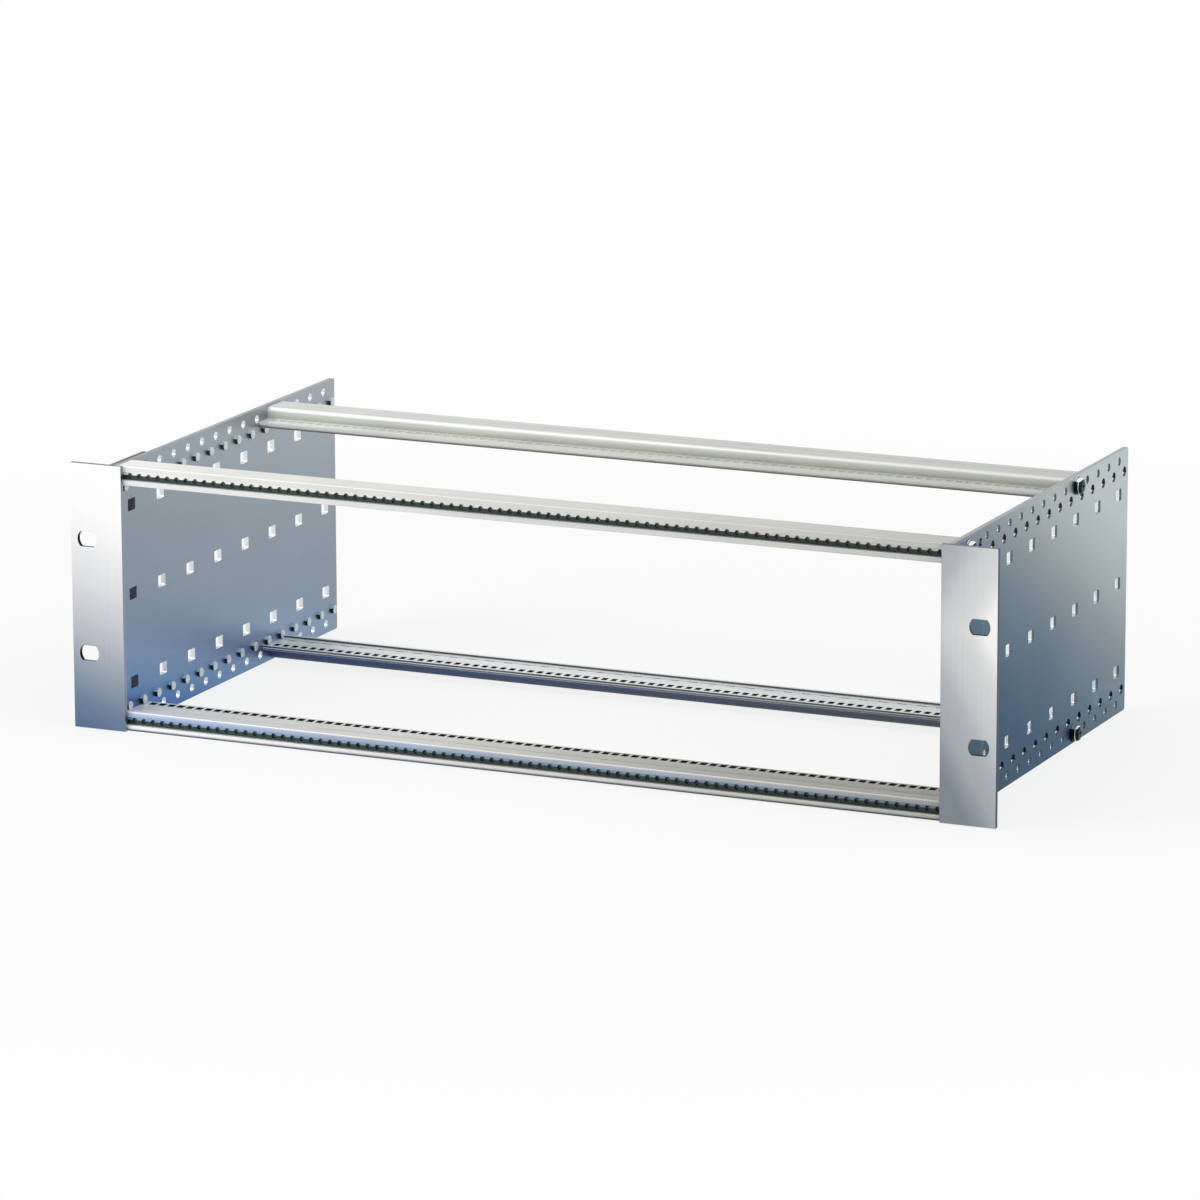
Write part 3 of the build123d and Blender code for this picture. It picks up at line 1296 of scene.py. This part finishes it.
@dataclass
class ThreadedStrip:
    """A steel strip with a row of tapped holes, in a front rail's groove.

    Attributes:
        grid: the shared hole grid.
        edge: the panel's edge that its rail lies along.
        tap: the diameter of a tapped hole.
        edge_break: the break of its edges.
    """

    grid: Grid
    edge: Edge
    tap: float = 2.5
    edge_break: float = 0.14

    def _steel(self, middle: float) -> Metal:
        """Gives the strip's finish: its own dark tint below the middle and a painted reflection above it,
        darker to the right as painted shade.

        Args:
            middle: the height of the strip's middle.

        Returns:
            The finish.
        """
        # Painted reflection: the upper half is white on the upper strip and pale blue on the lower one, over
        # the strip's own dark tint.
        light = (138, 168, 200) if self.edge is Edge.BOTTOM else (248, 252, 250)
        dark = ((middle - 2.7, 38, 56, 54), (middle + 0.1, 44, 62, 60))
        return Metal(
            name=f"passivated strip {self.edge.value}",
            slot="strip_steel",
            tone=Tone((*dark, (middle + 0.4, *light), (middle + 2.7, *light))),
            grain=(40.0, 900.0, 900.0),
            metallic=0.25,
            contrast=0.12,
            roughness=0.3,
            relief=0.003,
            side_fall=1.6,
        )

    def build(self, assembly: Assembly) -> None:
        """Makes the strip and fits it.

        Args:
            assembly: takes the finished strip.
        """
        node = f"front_{self.edge.value}_threaded_strip"
        low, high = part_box(node)
        strip = Bench.block(f"tapped_strip_{self.edge.value}", low, high)
        centre = (low + high) / 2
        count = round(self.grid.opening / self.grid.card_pitch)
        centre.x = -(count - 1) / 2 * self.grid.card_pitch * MM
        taps = Bench.rod("taps", centre, Axis.Y, self.tap, 3 * (high.y - low.y) / MM, sides=20)
        Bench.repeat(taps, count, metres(self.grid.card_pitch, 0, 0))
        Bench.carve(strip, taps, Carve.CUT)
        Bench.soften(strip, self.edge_break)
        assembly.fit(strip, self._steel(centre.z / MM), node)


@dataclass
class Fasteners:
    """The pan head screws and their washers.

    Attributes:
        shank: a screw's diameter.
        core: the diameter at the thread's root.
        thread_pitch: between two turns of the thread.
        plain: the least length of the neck without a thread.
        weld: how far the neck reaches into the head.
        head: the head's diameter.
        head_height: from the seat to the crown.
        crown: the round of the head.
        recess_span: across the driver's cross.
        recess_width: the width of one arm of the cross.
        recess_depth: how deep the cross goes.
        recess_taper: the cross's size at its floor, where 1 is its size at the crown.
        washer: the washer's diameter.
        washer_hole: its hole.
        washer_break: the break of its edges.
        turns: how far each screw is driven round, in degrees.
    """

    shank: float = 4.0
    core: float = 3.3
    thread_pitch: float = 0.7
    plain: float = 1.0
    weld: float = 0.5
    head: float = 8.0
    head_height: float = 2.8
    crown: float = 1.7
    recess_span: float = 4.4
    recess_width: float = 1.0
    recess_depth: float = 1.6
    recess_taper: float = 0.6
    washer: float = 9.0
    washer_hole: float = 4.3
    washer_break: float = 0.12
    turns: tuple[float, ...] = (12.0, 47.0, 71.0, 28.0, 63.0, 5.0, 38.0, 80.0)

    def _head(self) -> Piece:
        """Makes a pan head that reaches from the origin towards +X.

        Returns:
            The head with the driver's cross in it.
        """
        height = self.head_height
        head = Bench.rod("pan head", metres(height / 2, 0, 0), Axis.X, self.head, height, sides=48)
        Bench.round_edges(head, at_distance(height), self.crown, steps=7)
        half_span, half_width = self.recess_span / 2, self.recess_width / 2
        for wide, tall in ((half_span, half_width), (half_width, half_span)):
            floor = metres(height - self.recess_depth, -wide, -tall)
            arm = Bench.block("cross arm", floor, metres(height + CLEAR, wide, tall))
            Bench.select(arm, Pick.FACES, lambda face: face.normal.x < -0.5)
            bpy.ops.transform.resize(value=(1.0, self.recess_taper, self.recess_taper))
            Bench.close()
            Bench.carve(head, arm, Carve.CUT)
        return head

    def _screw(self, length: float) -> Piece:
        """Makes a screw along X with its seat at the origin, the head towards +X.

        Args:
            length: from the seat to the point.

        Returns:
            The screw.
        """
        screw = self._head()
        threaded = int((length - self.plain) / self.thread_pitch)
        reach = length - threaded * self.thread_pitch
        neck_centre = metres(-(reach - self.weld) / 2, 0, 0)
        neck = Bench.rod("neck", neck_centre, Axis.X, self.core, reach + self.weld, sides=24)
        Bench.carve(screw, neck, Carve.WELD)
        crest = self.thread_pitch / 2 - length
        thread = Bench.rod("thread", metres(crest, 0, 0), Axis.X, self.core, self.thread_pitch, sides=24)
        Bench.select(thread, Pick.EDGES, along_x(2 * MARGIN))
        bpy.ops.mesh.subdivide(number_cuts=1)
        Bench.close()
        Bench.select(thread, Pick.EDGES, at_distance(-crest))
        widen = self.shank / self.core
        bpy.ops.transform.resize(value=(1.0, widen, widen))
        Bench.close()
        Bench.repeat(thread, threaded, metres(self.thread_pitch, 0, 0))
        Bench.carve(screw, thread, Carve.WELD)
        Bench.smooth(screw)
        return screw

    def _washer(self, thickness: float) -> Piece:
        """Makes a washer on the origin that reaches towards +X.

        Args:
            thickness: its thickness.

        Returns:
            The washer.
        """
        centre = metres(thickness / 2, 0, 0)
        ring = Bench.rod("ring", centre, Axis.X, self.washer, thickness, sides=48)
        hole = Bench.rod("hole", centre, Axis.X, self.washer_hole, 3 * thickness, sides=32)
        Bench.carve(ring, hole, Carve.CUT)
        Bench.soften(ring, self.washer_break)
        return ring

    @staticmethod
    def _place(model: Piece, name: str, seat: Vector, side: Side, turn: float) -> Piece:
        """Copies a model to its seat.

        Args:
            model: the piece along X at the origin.
            name: the copy's name.
            seat: the middle of the face that it sits on.
            side: the end of the rack, whose outside the head points to.
            turn: how far it is turned about its axis, in degrees.

        Returns:
            The copy, with its place in its mesh.
        """
        piece = Bench.copy(model, name)
        about = Matrix.Rotation(0.0 if side is Side.RIGHT else math.pi, 4, "Z")
        driven = Matrix.Rotation(math.radians(turn), 4, "X")
        piece.matrix_world = Matrix.Translation(seat) @ about @ driven
        Bench.settle(piece)
        return piece

    @staticmethod
    def _length(node: str) -> float:
        """Returns a node's length along x in millimetres."""
        low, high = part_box(node)
        return (high.x - low.x) / MM

    def build(self, assembly: Assembly) -> None:
        """Makes both kinds of screw and the washer, and fits them at all eight corners.

        Args:
            assembly: takes the finished screws and washers.
        """
        turns = iter(self.turns)
        for end in ("front", "rear"):
            washer = self._washer(self._length(f"{end}_bottom_right_washer"))
            screw = self._screw(self._length(f"{end}_bottom_right_screw") - self.head_height)
            for edge, side in product(Edge, Side):
                corner = f"{end}_{edge.value}_{side.word}"
                low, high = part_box(f"{corner}_washer")
                inner, outer = sorted((abs(low.x), abs(high.x)))
                seat = (low + high) / 2
                turn = next(turns)
                seat.x = side.value * inner
                ring = self._place(washer, f"washer_{corner}", seat, side, turn)
                # Painted reflection and highlight on the washers and screws, and a painted highlight on the
                # cross's floor.
                assembly.fit(ring, SCREW_REFLECTION, f"{corner}_washer")
                seat.x = side.value * outer
                bolt = self._place(screw, f"screw_{corner}", seat, side, turn)
                assembly.fit(bolt, SCREW_REFLECTION, f"{corner}_screw")
                floor = outer / MM + self.head_height - self.recess_depth
                assembly.paint(bolt, CROSS_GLINT, lambda face: abs(out_of(face) - floor) < 2 * MARGIN)
            bpy.data.objects.remove(washer)
            bpy.data.objects.remove(screw)


@dataclass(frozen=True)
class Lamp:
    """A soft square lamp.

    Attributes:
        name: its name.
        place: where it hangs, in metres.
        width: its width and height, in metres.
        power: in watts.
    """

    name: str
    place: Point
    width: float
    power: float

    def hang(self, target: Point) -> None:
        """Hangs the lamp.

        Args:
            target: the point that it lights, in metres.
        """
        data = bpy.data.lights.new(self.name, "AREA")
        data.shape = "RECTANGLE"
        data.size = data.size_y = self.width
        data.energy = self.power
        lamp = bpy.data.objects.new(self.name, data)
        bpy.context.scene.collection.objects.link(lamp)
        lamp.location = self.place
        aim = Vector(target) - Vector(self.place)
        lamp.rotation_euler = aim.to_track_quat("-Z", "Y").to_euler()
        lamp.visible_camera = False


@dataclass
class Studio:
    """The pale floor, the soft light and the camera.

    Attributes:
        floor: the floor's width, in metres.
        floor_level: its height, in metres.
        floor_shade: how light it is near the rack.
        near: how far round the middle the floor shows its own shade, in metres.
        far: from where it is plain white, in metres.
        bleach: how much of the floor's own shade is plain white near the rack.
        surround: the strength of the light from all round.
        lamps: the lamps.
        middle: the point that the lamps light, in metres.
        lens: the camera's lens, in millimetres on its sensor.
        sensor: the sensor's width, in millimetres.
        heading: how far the camera's view is turned to the left of +Y, in radians.
        tilt: how far it looks down, in radians.
        roll: its turn about its own view, in radians.
        distance: from the camera to the point that it is set by, in metres.
        aim: that point.
        drift: how far the point lies from the view's middle, right and up, in metres.
        sight: how far the camera sees, in metres.
    """

    floor: float = 24.0
    floor_level: float = -0.0004
    floor_shade: float = 0.96
    near: float = 0.3
    far: float = 0.9
    bleach: float = 0.8
    surround: float = 0.7
    lamps: tuple[Lamp, ...] = (
        Lamp("key", (-1.1, -1.3, 1.5), width=1.0, power=9.0),
        Lamp("fill", (1.5, -0.6, 1.0), width=1.2, power=3.0),
    )
    middle: Point = (0.0, 0.0, 0.07)
    lens: float = 202.83
    sensor: float = 36.0
    heading: float = 0.423
    tilt: float = 0.230
    roll: float = -0.003
    distance: float = 3.312
    aim: Point = (0.0, 0.001, 0.066275)
    drift: tuple[float, float] = (0.011625, 0.005705)
    sight: float = 100.0

    @staticmethod
    def _seen(graph: Graph) -> Socket:
        """Tells the rays that show the background itself.

        Args:
            graph: the nodes of the floor or the world.

        Returns:
            1 on rays seen straight, mirrored or through glass.
        """
        rays = graph.add("ShaderNodeLightPath").outputs
        mirrored = graph.math("MAXIMUM", rays["Is Camera Ray"], rays["Is Glossy Ray"])
        return graph.math("MAXIMUM", mirrored, rays["Is Transmission Ray"])

    def _floor(self) -> None:
        """Lays the floor, which keeps the soft shadow near the rack and is white further out."""
        Bench.clear()
        bpy.ops.mesh.primitive_plane_add(size=self.floor, location=(0, 0, self.floor_level))
        floor = Bench.name(bpy.context.object, "floor")
        Bench.settle(floor)
        material = bpy.data.materials.new("pale floor")
        graph = Graph.of(material)
        place = graph.add("ShaderNodeTexCoord").outputs["Object"]
        reach = graph.add("ShaderNodeVectorMath", {0: place}, operation="LENGTH").outputs["Value"]
        limits = {0: reach, 1: self.near, 2: self.far}
        share = graph.add("ShaderNodeMapRange", limits, interpolation_type="SMOOTHSTEP").outputs[0]
        whole = graph.math("MULTIPLY_ADD", share, 1 - self.bleach, self.bleach)
        fade = graph.math("MULTIPLY", whole, self._seen(graph))
        matt = graph.add("ShaderNodeBsdfDiffuse", {"Color": (*[self.floor_shade] * 3, 1.0)})
        white = graph.add("ShaderNodeEmission", {"Color": (1.0, 1.0, 1.0, 1.0), "Strength": 1.0})
        surface = graph.add("ShaderNodeMixShader", {0: fade, 1: matt.outputs[0], 2: white.outputs[0]})
        graph.output("ShaderNodeOutputMaterial", surface.outputs[0])
        floor.data.materials.append(material)

    def _world(self) -> None:
        """Sets an even white surround that lights the rack at a plain level."""
        world = bpy.data.worlds.new("surround")
        bpy.context.scene.world = world
        graph = Graph.of(world)
        strength = graph.math("MULTIPLY_ADD", self._seen(graph), 1 - self.surround, self.surround)
        white = graph.add("ShaderNodeBackground", {"Color": (1.0, 1.0, 1.0, 1.0), "Strength": strength})
        graph.output("ShaderNodeOutputWorld", white.outputs[0])

    def _camera(self) -> None:
        """Stands the camera where the photograph was taken from."""
        ahead = Vector((
            -math.sin(self.heading) * math.cos(self.tilt),
            math.cos(self.heading) * math.cos(self.tilt),
            -math.sin(self.tilt),
        ))
        level = Vector((math.cos(self.heading), math.sin(self.heading), 0.0))
        upright = level.cross(ahead)
        right = math.cos(self.roll) * level + math.sin(self.roll) * upright
        up = math.cos(self.roll) * upright - math.sin(self.roll) * level
        data = bpy.data.cameras.new("camera")
        data.lens = self.lens
        data.sensor_width = self.sensor
        data.clip_end = self.sight
        camera = bpy.data.objects.new("camera", data)
        bpy.context.scene.collection.objects.link(camera)
        turn = Matrix((right, up, -ahead)).transposed().to_4x4()
        place = Vector(self.aim) - self.distance * ahead - self.drift[0] * right - self.drift[1] * up
        camera.matrix_world = Matrix.Translation(place) @ turn
        bpy.context.scene.camera = camera

    def build(self) -> None:
        """Sets the whole studio up."""
        self._floor()
        self._world()
        for lamp in self.lamps:
            lamp.hang(self.middle)
        self._camera()
        bpy.context.scene.view_settings.view_transform = "Standard"


def main() -> None:
    """Builds the sub-assemblies in order and sets the studio round them."""
    logging.basicConfig(level=logging.INFO, format="%(name)s %(message)s")
    GRAIN.build()
    MOTTLE.build()
    assembly = Assembly()
    grid = Grid()
    for side in Side:
        SidePanel(grid, side).build(assembly)
        RackFlange(grid, side).build(assembly)
    for edge in Edge:
        Rail(grid, "front", edge, FRONT_RAIL_METAL, FRONT_SLOTS).build(assembly)
        Rail(grid, "rear", edge, REAR_RAIL_METAL, REAR_SLOTS[edge], REAR_POCKETS).build(assembly)
        ThreadedStrip(grid, edge).build(assembly)
    Fasteners().build(assembly)
    log.info("%d pieces fitted", assembly.count)
    Studio().build()


if __name__ == "__main__":
    main()
